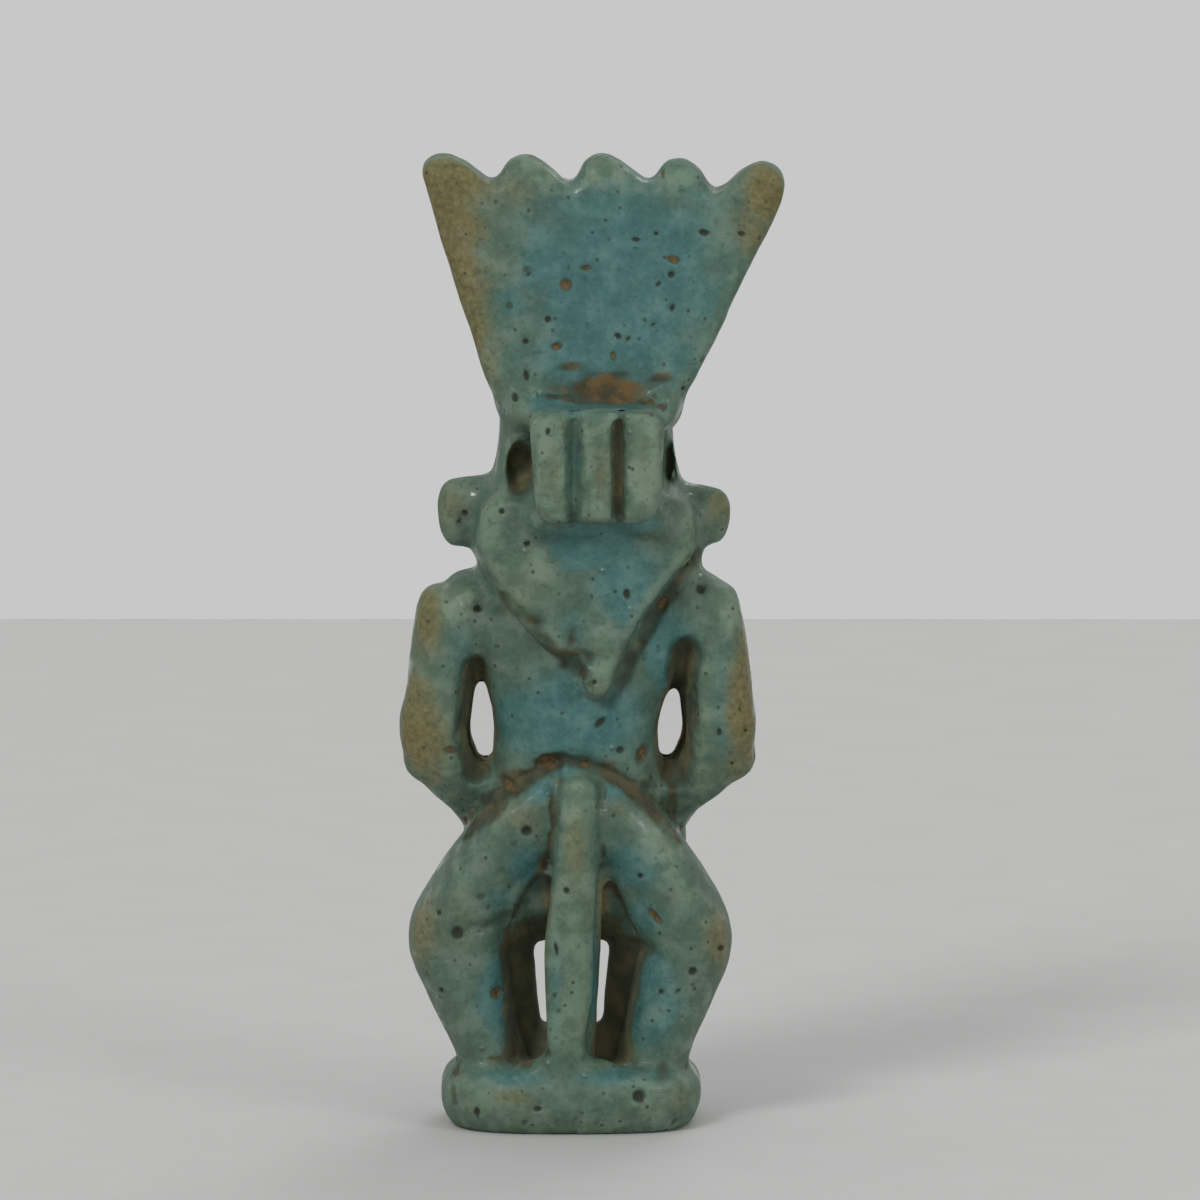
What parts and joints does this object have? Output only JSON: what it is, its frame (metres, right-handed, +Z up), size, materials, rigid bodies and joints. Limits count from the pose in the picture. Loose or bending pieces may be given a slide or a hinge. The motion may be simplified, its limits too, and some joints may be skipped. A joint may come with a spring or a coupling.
{
  "type": "standing amulet figurine",
  "caption": "Small moulded amulet of a squat lion-maned god with a plumed crown, standing on a low plinth, with a ribbed cord loop behind the head.",
  "frame": {"origin": "middle of the flat underside of the plinth", "axes": "+Z up, the face looks along -Y, the figure's own left hand is at +X"},
  "size_m": [0.0155, 0.01, 0.0396],
  "materials": {
    "faience": "worn blue-green glaze, olive at the edges, with brown dirt in the recesses and small dark pits"
  },
  "bodies": {
    "root": {"amulet_figure": "faience"}
  },
  "joints": []
}
